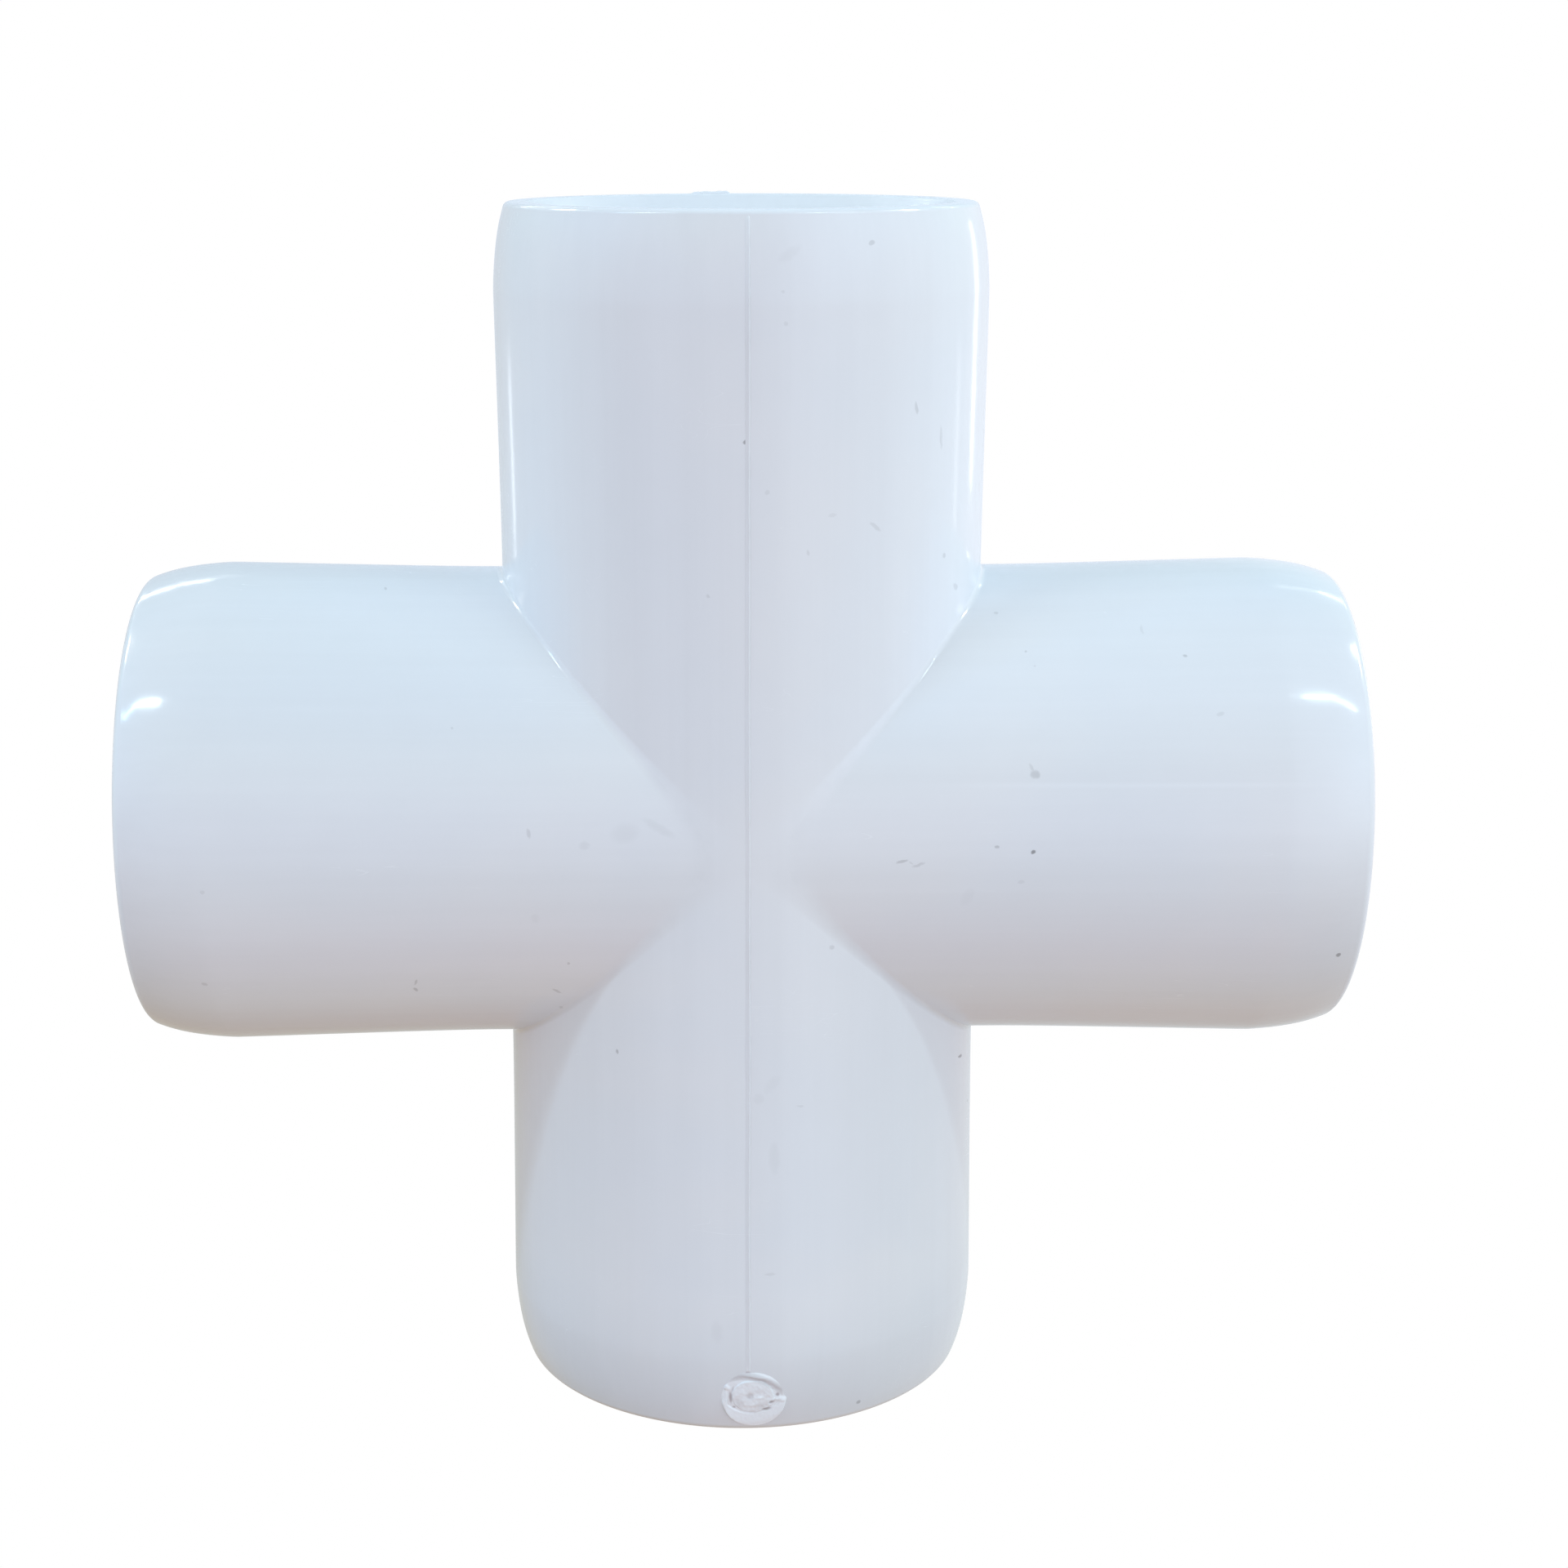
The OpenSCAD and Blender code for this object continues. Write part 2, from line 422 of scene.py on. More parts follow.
# How dark the lines are made along the run: z (mm), share.
LINE_DARKENING = [
    (-36, 1.1), (-22.5, 1.0), (-17.5, 0.45), (-12.5, 0.85), (-2.5, 1.08), (2.5, 0.8),
    (10, 0.66), (22, 0.70), (27.5, 1.05), (32.5, 1.08), (37.5, 0.55), (40, 0.25), (42, 0.1)]


def run_line(z):
    """Distance of the skin from the run's axis in the YZ plane."""
    z = np.asarray(z, float)
    away = np.abs(z)
    points = np.stack([0 * z, -np.full_like(z, RUN_R), z], -1)
    settled, _ = settle(points, RUN_R, BRANCH_R, outer_fillet)
    arm = np.where(z > 0, outline_r(away, RUN_TOP), outline_r(away, RUN))
    return np.where(away <= STOP, -settled[..., 1], arm)


def parting_line(name, side, z_low, z_high, seed, material):
    """A flash line along the run, side -1 for the front and 1 for the rear: a
    small uneven ridge, slightly wandering and fading out at its ends."""
    z = np.arange(z_low, z_high + 1e-6, 0.22)
    z[-1] = z_high
    base = run_line(z)
    height = 0.070 + 0.014 * noise_line(z, seed, 1.7) + 0.008 * noise_line(z, seed + 1, 0.5)
    width = 0.170 + 0.018 * noise_line(z, seed + 2, 2.3) + 0.008 * noise_line(z, seed + 3, 0.6)
    fade = smooth((z - z_low) / 0.8) * smooth((z_high - z) / 0.8)
    height = height * (0.25 + 0.75 * fade)
    x = 0.05 + 0.02 * noise_line(z, seed + 4, 6.0)
    along = np.interp(z, *zip(*LINE_DARKENING))
    columns = len(LINE_SECTION) + 1
    points = np.zeros((len(z), columns, 3))
    soil = np.zeros((len(z), columns))
    for j, (across, share, dark_share) in enumerate(LINE_SECTION):
        points[:, j, 0] = x + across * width
        points[:, j, 1] = side * (base + (-0.03 if share < 0 else share * height))
        soil[:, j] = dark_share * (0.86 + 0.14 * noise_line(z, seed + 5, 0.9)) * \
            (0.9 + 0.1 * noise_line(z, seed + 6, 7.0)) * fade * along
    points[:, -1, 0] = x
    points[:, -1, 1] = side * (base - 0.08)
    points[..., 2] = z[:, None]
    return make_object(name, points.reshape(-1, 3), loft_faces(len(z), columns, flip=side > 0),
                       material, soil=soil.reshape(-1))


# -------------------------------------------------------- moulding mark
# The mark is laid out in its own u (along +X) and v (up), with its rim at 2.40.
MARK_UNITS = 2.40
# Rounded patches: strength, centre u and v, half sizes, turn (degrees), and
# edge power (2 soft, higher firmer). Heights are in mm.
BUTTON_LUMPS = [
    (0.055, 0.42, 0.20, 0.26, 0.13, 0, 8), (-0.050, -0.30, 0.33, 0.26, 0.26, 0, 4),
    (-0.030, -1.05, -0.25, 0.32, 0.50, 0, 2), (-0.035, 0.62, -0.48, 0.45, 0.24, 0, 2)]
# two broken spurs on the right, then a torn step at the upper left
SPURS = [
    (0.085, 1.95, -0.02, 0.50, 0.17, -8, 4), (0.05, 1.45, -0.02, 0.20, 0.12, 0, 4),
    (0.100, -1.96, 1.06, 0.34, 0.17, -42, 4)]
# pits and the slot beside the button, as shares of the height taken away
PITS = [
    (0.95, -1.62, 0.20, 0.11, 0.46, 4, 4), (0.45, -1.48, 0.86, 0.07, 0.26, -14, 4),
    (0.8, -1.38, -0.60, 0.13, 0.09, 0, 4), (0.95, 1.65, 0.36, 0.13, 0.14, 0, 4),
    (0.95, 1.23, -0.23, 0.20, 0.12, 15, 4), (0.95, 0.87, -0.78, 0.33, 0.11, 10, 4)]
# where the button's hollows are darkened: dirt and painted shade
DARKENED_HOLLOWS = [
    (0.75, -0.30, 0.33, 0.28, 0.26, 0, 4), (0.50, -1.05, -0.30, 0.34, 0.50, 0, 2),
    (0.50, 0.60, -0.48, 0.48, 0.24, 0, 2), (0.35, -0.30, -0.92, 0.80, 0.18, 0, 2),
    (0.20, 0.20, 0.72, 0.60, 0.20, 0, 2)]


def patches(u, v, rows):
    total = 0
    for strength, centre_u, centre_v, half_u, half_v, turn, power in rows:
        cos, sin = math.cos(math.radians(turn)), math.sin(math.radians(turn))
        x, y = u - centre_u, v - centre_v
        square = ((x * cos + y * sin) / half_u) ** 2 + ((y * cos - x * sin) / half_v) ** 2
        total = total + strength * np.exp(-square ** (power / 2))
    return total


def mark_relief(u, v, turn, rim_share):
    """Height (mm) and the dirt and painted shade over the mark; rim_share is the radius over
    the rim's.
    """
    wobble = 0.05 * noise_plane(u, v, 41, 0.9) + 0.02 * noise_plane(u, v, 42, 0.3)
    radius = np.hypot(u, v) + 0.5 * wobble
    low = smooth(0.5 - v / 0.8)                    # 1 on the lower half
    # the pan inside the ring: a flat upper wall running off to the right, a
    # curved lower one, a short left one
    from_top = u + 0.75
    upper = 1.93 - np.where(from_top > 0, 0.168, 0.20) * from_top ** 2
    from_bottom = u + 0.30
    lower = -1.05 + np.where(from_bottom > 0, 0.20, 0.27) * from_bottom ** 2
    widening = 0.12 * np.clip(u / 2.0, 0, 1)
    rise = lower - v + 0.04 + wobble
    ring = np.maximum.reduce([smooth((v - upper + 0.18 + wobble) / (0.30 + widening))
                              * (1 - 0.60 * smooth((u - 0.1) / 1.2)),
                              0.40 * smooth(rise / 0.16) + 0.60 * smooth(rise / 1.0),
                              0.75 * smooth((-1.84 - u + wobble) / 0.14),
                              0.40 * smooth((u - 2.05) / 0.25)])
    fall = (1 - low) * (1 - smooth((radius - 1.72) / 0.60)) + \
        low * (1 - smooth((radius - 2.14) / 0.16))
    height = 0.21 * ring * fall + 0.02 * (1 - ring)
    # rough button, broken off rather than cut, with a raised ring round its bowl
    from_button = np.hypot((u + 0.06) / 1.52, (v - 0.28) / 1.32) + 0.7 * wobble
    button = 1 - smooth((from_button - 0.92) / 0.09)
    bowl = np.hypot(u + 0.20, v - 0.20)
    lump = 0.026 * noise_plane(u, v, 51, 0.50) + 0.016 * noise_plane(u, v, 52, 0.20) \
        + 0.040 * np.exp(-((bowl - 0.62) / 0.15) ** 2) * smooth(0.6 - v / 0.4) \
        + patches(u, v, BUTTON_LUMPS)
    height = np.maximum(height, button * (0.130 + lump)) + patches(u, v, SPURS)
    pits = patches(u, v, PITS)
    height = height * (1 - np.clip(pits, 0, 0.95)) \
        + 0.010 * noise_plane(u, v, 53, 0.16) * (rim_share < 0.92)
    height = np.clip(height, 0.0, 0.26) + 0.006
    # the rim sinks under the skin; the top runs out into it more softly
    soft = (1 - low) * smooth((u + 0.9) / 0.6)
    edge = soft * smooth((rim_share - 0.80) / 0.18) + \
        (1 - soft) * smooth((rim_share - 0.93) / 0.055)
    height = np.where(rim_share > 0.985, -0.03, height * (1 - edge) - 0.03 * edge)
    # dirt and painted shade: darkening in the pits and in the button's hollows
    # (dirt and painted shade), a painted shadow along the upper inner wall and a
    # painted shadow under the lower rim, partly dirt
    wall = np.clip(1 - np.abs(v - upper + 0.04) / (0.32 + widening), 0, 1) ** 0.45 \
        * smooth((u + 2.15) / 0.12) * smooth((2.2 - u) / 0.3) * (v > 0)
    under_rim = np.clip(1 - np.abs(radius - 2.28) / 0.12, 0, 1) * \
        np.clip(-np.sin(turn + 0.25), 0, 1)
    hollow = patches(u, v, DARKENED_HOLLOWS) * (1 + 0.4 * noise_plane(u, v, 54, 0.3))
    soil = np.clip(1.8 * pits + 1.15 * wall + 1.0 * under_rim + button * hollow, 0, 2.2)
    return height, soil


def moulding_mark(material):
    """The scar of the moulding gate: a dished ring round a rough button, as a
    thin disc bent round the front of the run."""
    centre_x = 0.5 * (MARK_LOW[0] + MARK_HIGH[0])
    centre_z = 0.5 * (MARK_LOW[2] + MARK_HIGH[2])
    rim_r = 0.5 * (MARK_HIGH[0] - MARK_LOW[0])
    unit = rim_r / MARK_UNITS
    rings, spokes = 96, 200
    radius, turn = np.meshgrid(np.linspace(0, rim_r, rings),
                               np.arange(spokes) * 2 * math.pi / spokes, indexing="ij")
    height, soil = mark_relief(radius * np.cos(turn) / unit, radius * np.sin(turn) / unit,
                               turn, radius / rim_r)

    def place(height):
        z = centre_z + radius * np.sin(turn)
        skin = outline_r(np.abs(z), RUN)
        angle = (centre_x + radius * np.cos(turn)) / skin
        r = skin + height
        return np.stack([r * np.sin(angle), -r * np.cos(angle), z], -1)

    top, under = place(height), place(np.full_like(height, -0.14))
    verts = np.concatenate([top[1:].reshape(-1, 3), under[1:].reshape(-1, 3),
                            top[0, :1], under[0, :1]])
    sheet = (rings - 1) * spokes                   # vertices of one sheet, less its centre
    soil = np.concatenate([soil[1:].reshape(-1), np.zeros(sheet), soil[0, :1], [0.0]])
    faces = []
    for i in range(rings - 2):
        for j in range(spokes):
            k = (j + 1) % spokes
            a, b, c, d = (i * spokes + j, (i + 1) * spokes + j,
                          (i + 1) * spokes + k, i * spokes + k)
            faces.append([a, b, c, d])
            faces.append([sheet + a, sheet + d, sheet + c, sheet + b])
    rim = (rings - 2) * spokes
    for j in range(spokes):
        k = (j + 1) % spokes
        faces.append([rim + j, sheet + rim + j, sheet + rim + k, rim + k])
        faces.append([2 * sheet, j, k])
        faces.append([2 * sheet + 1, sheet + k, sheet + j])
    return make_object("moulding_mark_skin", verts, faces, material, soil=soil)


# Section of the flash: radial offset (mm), sunk depth (mm), share of height.
FLASH_SECTION = [(-0.30, -0.04, 0), (-0.24, 0.0, 0.45), (-0.15, 0.0, 0.9),
                 (-0.08, 0.0, 1.0), (-0.02, 0.0, 0.75), (0.0, -0.04, 0)]


def rim_flash(material):
    """A ragged sliver of flash standing on the rear of the upper rim."""
    r = skin_r(LIP_END, RUN) - LIP_ROUND
    start, end = math.radians(91.5), math.radians(103.5)   # from +X towards +Y
    steps = 40
    t = np.linspace(0, 1, steps)
    angle = start + (end - start) * t
    height = (box_mm("rim_flash")[1][2] - REACH) * smooth(t / 0.12) * smooth((1 - t) / 0.2) * \
        (0.82 + 0.12 * noise_line(t * 10, 31, 1.0) + 0.06 * noise_line(t * 10, 32, 0.35))
    points = np.zeros((steps, len(FLASH_SECTION), 3))
    for j, (offset, sunk, share) in enumerate(FLASH_SECTION):
        points[:, j, 0] = (r + offset) * np.cos(angle)
        points[:, j, 1] = (r + offset) * np.sin(angle)
        points[:, j, 2] = REACH + sunk + share * height
    return make_object("rim_flash_skin", points.reshape(-1, 3),
                       loft_faces(steps, len(FLASH_SECTION)), material)


# ------------------------------------------------------------- node graphs
class Nodes:
    """Short calls that add a node and return its output. Values passed in may
    be numbers or other nodes' outputs."""

    def __init__(self, tree):
        tree.nodes.clear()
        self.tree = tree

    def add(self, kind, **settings):
        node = self.tree.nodes.new(kind)
        for key, value in settings.items():
            setattr(node, key, value)
        return node

    def put(self, value, socket):
        if hasattr(value, "links"):
            self.tree.links.new(value, socket)
        else:
            socket.default_value = value

    def math(self, operation, *values, clamp=False):
        node = self.add("ShaderNodeMath", operation=operation, use_clamp=clamp)
        for value, socket in zip(values, node.inputs):
            self.put(value, socket)
        return node.outputs[0]

    def vector(self, operation, *values, scale=None):
        node = self.add("ShaderNodeVectorMath", operation=operation)
        for value, socket in zip(values, node.inputs):
            self.put(value, socket)
        if scale is not None:
            self.put(scale, node.inputs["Scale"])
        return node.outputs["Value" if operation == "DOT_PRODUCT" else "Vector"]

    def times(self, a, b):
        return self.math("MULTIPLY", a, b)

    def rest(self, value):
        return self.math("SUBTRACT", 1.0, value)

    def swing(self, noise):
        """Noise about zero."""
        return self.math("SUBTRACT", noise, 0.5)

    def plus(self, total, *terms):
        """total and each (value, weight) term."""
        for value, weight in terms:
            total = self.math("ADD", total, self.times(value, weight))
        return total

    def length(self, a, b):
        return self.math("SQRT", self.math("ADD", self.times(a, a), self.times(b, b)))

    def largest(self, values):
        return reduce(lambda a, b: self.math("MAXIMUM", a, b), values)

    def band(self, value, low, high):
        """0 at low, 1 at high, smooth between (either way round)."""
        node = self.add("ShaderNodeMapRange", interpolation_type="SMOOTHSTEP")
        self.put(value, node.inputs["Value"])
        node.inputs["From Min"].default_value = low
        node.inputs["From Max"].default_value = high
        return node.outputs["Result"]

    def noise(self, vector, scale, detail=3.0, rough=0.5, distort=0.0, color=False):
        node = self.add("ShaderNodeTexNoise")
        for key, value in (("Vector", vector), ("Scale", scale), ("Detail", detail),
                           ("Roughness", rough), ("Distortion", distort)):
            self.put(value, node.inputs[key])
        return node.outputs["Color"] if color else node.outputs[0]

    def mapping(self, vector, scale, rotation=(0, 0, 0), location=(0, 0, 0)):
        node = self.add("ShaderNodeMapping")
        for key, value in (("Vector", vector), ("Scale", scale),
                           ("Rotation", rotation), ("Location", location)):
            self.put(value, node.inputs[key])
        return node.outputs[0]

    def mix(self, factor, a, b):
        """Mix of two colours."""
        node = self.add("ShaderNodeMix", data_type="RGBA")
        self.put(factor, node.inputs[0])
        for value, socket in ((a, node.inputs[6]), (b, node.inputs[7])):
            self.put(value if hasattr(value, "links") else (*value, 1), socket)
        return node.outputs[2]


def new_material(name):
    material = bpy.data.materials.new(name)
    material.use_nodes = True
    return material, Nodes(material.node_tree)


# ------------------------------------------------------------ marks of use
# Specks, scratches and smudges of handling: place (mm), direction, half length
# and half width (mm), strength; a negative strength is a pale scratch.
SPOTS = [
    (8.36, -14.57, 21.66, 0.72, 0.42, -0.55, 0.50, 0.15, 0.13),
    (13.31, -10.25, 19.07, 0.20, 0.26, -0.95, 0.18, 0.17, 0.18),
    (14.25, -8.90, 16.74, 0.47, 0.75, -0.46, 0.39, 0.20, 0.16),
    (17.12, -7.68, 14.83, 1.00, -0.01, -0.00, 0.13, 0.17, 0.15),
    (18.79, -10.80, 12.74, 1.00, -0.00, -0.00, 0.11, 0.10, 0.18),
    (19.30, -11.70, 11.92, 1.00, -0.00, -0.00, 0.09, 0.09, 0.10),
    (26.77, -9.38, 13.82, 0.01, -0.83, -0.56, 0.43, 0.10, 0.08),
    (29.42, -11.26, 12.33, 0.90, -0.32, -0.29, 0.14, 0.13, 0.26),
    (31.37, -14.08, 8.98, 0.94, 0.19, 0.29, 0.26, 0.15, 0.10),
    (19.00, -15.80, 5.42, 1.00, -0.00, -0.01, 0.32, 0.28, 0.22),
    (18.80, -15.65, 5.82, 0.48, -0.30, -0.82, 0.34, 0.10, 0.13),
    (16.48, -16.69, 0.66, 0.94, -0.01, -0.35, 0.18, 0.12, 0.28),
    (18.91, -16.70, 0.31, 1.00, -0.00, -0.01, 0.15, 0.14, 0.64),
    (10.24, -16.70, -0.30, 0.96, -0.00, 0.26, 0.38, 0.10, 0.25),
    (11.32, -16.69, -0.53, 0.94, -0.01, 0.35, 0.41, 0.10, 0.17),
    (10.84, -16.69, -0.42, 0.86, 0.01, -0.52, 0.17, 0.06, 0.12),
    (5.70, -15.80, -6.41, 0.93, 0.34, -0.11, 0.21, 0.14, 0.15),
    (40.04, -14.80, -7.74, 0.94, 0.16, -0.31, 0.20, 0.16, 0.54),
    (15.40, -6.72, -17.45, 0.38, 0.87, -0.32, 0.52, 0.14, 0.62),
    (16.27, -4.20, -21.81, 0.23, 0.91, -0.35, 0.36, 0.10, 0.28),
    (3.95, -16.33, 20.26, 0.18, 0.04, -0.98, 0.20, 0.09, 0.11),
    (-2.50, -16.61, 17.47, 0.76, -0.11, -0.64, 0.14, 0.12, 0.13),
    (-24.50, -4.60, 16.05, 1.00, -0.01, -0.00, 0.11, 0.21, 0.19),
    (-19.37, -14.40, 8.46, 1.00, -0.00, -0.01, 0.10, 0.08, 0.14),
    (-14.35, -16.60, 1.79, 0.16, -0.11, -0.98, 0.33, 0.14, 0.16),
    (-35.83, -16.58, -1.97, 1.00, 0.00, -0.01, 0.15, 0.14, 0.10),
    (-36.47, -14.02, -9.08, 0.91, 0.23, -0.36, 0.21, 0.16, 0.17),
    (-22.33, -13.83, -9.37, 0.40, -0.51, 0.76, 0.31, 0.08, 0.22),
    (-22.40, -13.34, -10.05, 0.51, 0.52, -0.69, 0.22, 0.13, 0.30),
    (-11.97, -14.72, -7.88, 1.00, 0.01, -0.01, 0.12, 0.12, 0.19),
    (-12.85, -13.07, -10.39, 0.74, 0.42, -0.52, 0.39, 0.12, 0.21),
    (-12.67, -11.51, -12.10, 1.00, 0.01, -0.01, 0.14, 0.21, 0.15),
    (-8.82, -14.30, -14.22, 0.07, -0.04, -1.00, 0.19, 0.12, 0.33),
    (8.02, -14.76, 39.67, 0.88, 0.48, -0.02, 0.22, 0.15, 0.21),
    (2.22, -16.65, 36.79, 0.99, 0.13, -0.01, 0.11, 0.09, 0.09),
    (2.43, -16.62, 34.82, 0.99, 0.15, -0.01, 0.15, 0.12, 0.09),
    (11.03, -12.67, 29.09, 0.23, 0.20, -0.95, 0.43, 0.13, 0.18),
    (12.84, -10.83, 26.95, 0.06, 0.07, -1.00, 0.74, 0.14, 0.13),
    (-0.04, -16.80, 27.41, 1.00, -0.00, -0.00, 0.18, 0.17, 0.55),
    (1.26, -16.75, 24.22, 1.00, 0.08, -0.01, 0.17, 0.14, 0.09),
    (5.51, -15.87, 22.61, 0.94, 0.33, 0.11, 0.28, 0.15, 0.07),
    (1.56, -16.73, -29.54, 0.99, 0.09, 0.04, 0.39, 0.09, 0.09),
    (8.14, -14.70, -40.47, 0.85, 0.47, -0.25, 0.18, 0.14, 0.35),
    (3.54, -16.42, -17.41, 0.94, 0.20, -0.26, 0.27, 0.13, 0.09),
    (-8.03, -16.61, 1.75, 0.99, 0.02, 0.17, 0.70, 0.49, 0.05),
    (-5.83, -16.57, 2.11, 0.86, -0.06, -0.51, 0.86, 0.22, 0.06),
    (-10.67, -16.67, 0.95, 1.00, -0.00, -0.01, 0.27, 0.22, 0.07),
    (1.83, -16.70, -21.11, 0.03, 0.00, -1.00, 0.83, 0.28, 0.05),
    (1.70, -16.71, -15.76, 0.63, 0.06, 0.77, 0.56, 0.29, 0.03),
    (-14.06, -16.16, -4.22, 1.00, 0.00, -0.01, 0.22, 0.25, 0.04),
    (2.67, -16.59, 39.09, 0.82, 0.13, 0.55, 0.61, 0.25, 0.04),
    (-2.09, -16.67, -33.79, 0.08, -0.01, -1.00, 0.61, 0.29, 0.04),
    (0.77, -16.78, -16.78, 1.00, 0.05, -0.03, 0.28, 0.29, 0.04),
    (18.17, -16.60, -1.78, 1.00, 0.00, -0.01, 0.22, 0.15, 0.08),
    (14.63, -16.45, -2.87, 0.44, -0.15, 0.89, 0.52, 0.29, 0.03),
    (-5.13, -16.00, -10.57, 0.87, -0.28, 0.42, 0.48, 0.07, -0.04),
    (0.60, -16.79, -10.29, 0.93, 0.03, -0.37, 0.22, 0.12, -0.05),
    (0.60, -16.79, -11.15, 1.00, 0.04, -0.02, 0.16, 0.10, -0.05),
]


def spots_for(piece):
    """The marks standing on one piece; those of the centre that lie within
    0.8 mm of a stop plane are shared with every other piece."""
    found = []
    for spot in SPOTS:
        x, z = spot[0], spot[2]
        if x > STOP:
            owner = "right"
        elif x < -STOP:
            owner = "left"
        elif z > STOP:
            owner = "top"
        elif z < -STOP:
            owner = "bottom"
        else:
            owner = "centre"
        shared = owner == "centre" and max(abs(x), abs(z)) > STOP - 0.8
        if owner == piece or shared:
            found.append(spot)
    return found


def spot_mask(nodes, skin, spot):
    """Strength of one elliptical spot over the skin."""
    place, direction, (half_length, half_width, strength) = spot[:3], spot[3:6], spot[6:]
    x, y, z = place
    along = Vector(direction).normalized()
    on_branch = abs(x) > STOP or abs(x) > abs(z) + 0.5
    outward = Vector((0, y, z) if on_branch else (x, y, 0)).normalized()
    across = outward.cross(along).normalized()
    ragged = min(half_length, half_width) < 0.3
    offset = nodes.vector("SUBTRACT", skin.warped if ragged else skin.place, place)
    u, v = [nodes.vector("DOT_PRODUCT", offset, axis / half)
            for axis, half in ((along, half_length), (across, half_width))]
    square = nodes.math("MULTIPLY_ADD", u, u, nodes.times(v, v))
    smudge = half_width > 0.19 and abs(strength) < 0.12
    outer, inner = (1.7, 0.1) if smudge else (1.25, 0.55)
    return nodes.times(nodes.band(square, outer * outer, inner * inner), abs(strength))


def specks(nodes, skin):
    """Thinly sown specks: one in ten cells holds one, varied in size and strength."""
    cells = nodes.add("ShaderNodeTexVoronoi")
    nodes.put(0.42, cells.inputs["Scale"])
    nodes.put(skin.warped, cells.inputs["Vector"])
    split = nodes.add("ShaderNodeSeparateColor")
    nodes.put(cells.outputs["Color"], split.inputs[0])
    draw, size, strength = split.outputs
    chosen = nodes.math("GREATER_THAN", draw, 0.90)
    radius = nodes.math("MULTIPLY_ADD", size, 0.045, 0.030)
    distance = nodes.math("DIVIDE", cells.outputs["Distance"], radius)
    return nodes.times(nodes.times(nodes.band(distance, 1.1, 0.6), chosen),
                       nodes.math("MULTIPLY_ADD", strength, 0.45, 0.12))


def use_marks(nodes, skin, piece):
    """Masks of the dark and the pale marks; pale is None where there are none.
    Specks are sown on the rear, the placed spots lie on the front."""
    rear_specks = nodes.times(specks(nodes, skin), nodes.band(skin.y, -3.0, 3.0))
    front = nodes.times(nodes.band(skin.y, -2.0, -4.0), nodes.rest(skin.inside))
    dark, pale = [], []
    for spot in spots_for(piece):
        (pale if spot[-1] < 0 else dark).append(spot_mask(nodes, skin, spot))
    dark_mask = rear_specks
    if dark:
        dark_mask = nodes.largest([nodes.times(nodes.largest(dark), front), rear_specks])
    return dark_mask, nodes.times(nodes.largest(pale), front) if pale else None


# ------------------------------------------------------------- PVC material
TINTS = (0.797, 0.843, 0.902), (0.812, 0.846, 0.892)       # cool whites
DARK_MARK = (0.075, 0.070, 0.078)
PALE_MARK = (1.0, 1.0, 1.0)
# colour mixed in by the soil attribute: dirt and painted shade
DIRT_AND_SHADE_COLOUR = (0.36, 0.315, 0.325)
# Painted reflection streaks along the right branch: angle up from the front
# (degrees), width (radians), brightening.
REFLECTION_STREAKS = [(16.75, 0.010, 0.030), (25.6, 0.028, 0.010)]
# Two sets of hairline scratches: rotation (radians) and shift along x.
SCRATCHES = [((0.4, 0.3, 0.9), 5), ((-0.7, 0.6, 0.35), 10)]


def skin_fields(nodes):
    """Places (mm) and noises that the parts of the material share."""
    skin = SimpleNamespace()
    place = nodes.vector("SCALE", nodes.add("ShaderNodeTexCoord").outputs["Object"],
                         scale=1000.0)
    split = nodes.add("ShaderNodeSeparateXYZ")
    nodes.put(place, split.inputs[0])
    x, y, z = split.outputs
    skin.place, skin.x, skin.y, skin.z = place, x, y, z
    from_run, from_branch = nodes.length(x, y), nodes.length(y, z)
    skin.run_gap = nodes.math("SUBTRACT", from_run, RUN_R)
    skin.branch_gap = nodes.math("SUBTRACT", from_branch, BRANCH_R)
    on_run = nodes.math("LESS_THAN", skin.run_gap, skin.branch_gap)

    def on_arm(run_value, branch_value):
        return nodes.math("ADD", nodes.times(on_run, run_value),
                          nodes.times(nodes.rest(on_run), branch_value))
    radial = on_arm(from_run, from_branch)
    skin.axial = nodes.math("ABSOLUTE", on_arm(z, x))
    skin.inside = nodes.band(radial, 14.75, 14.45)
    # coordinates stretched along whichever arm this is, for flow streaks
    flow = nodes.add("ShaderNodeMix", data_type="VECTOR")
    nodes.put(on_run, flow.inputs[0])
    nodes.put(nodes.mapping(place, scale=(0.018, 1, 1), location=(0, 0, 7.7)), flow.inputs[4])
    nodes.put(nodes.mapping(place, scale=(1, 1, 0.018), location=(0, 3.1, 0)), flow.inputs[5])
    skin.streak = nodes.noise(flow.outputs[1], scale=0.62, detail=4.0, rough=0.55)
    skin.fine = nodes.noise(flow.outputs[1], scale=2.6, detail=2.0)
    skin.cloud = nodes.noise(place, scale=0.045, distort=0.6)
    skin.mottle = nodes.noise(place, scale=0.34, detail=4.0, rough=0.6)
    skin.grain = nodes.noise(place, scale=5.5, detail=2.0, rough=0.6)
    # places shifted by up to 0.11 mm, for ragged outlines
    ragged = nodes.noise(place, scale=2.2, detail=2.0, color=True)
    shift = nodes.vector("MULTIPLY_ADD", ragged, (0.22,) * 3, (-0.11,) * 3)
    skin.warped = nodes.vector("ADD", place, shift)
    return skin


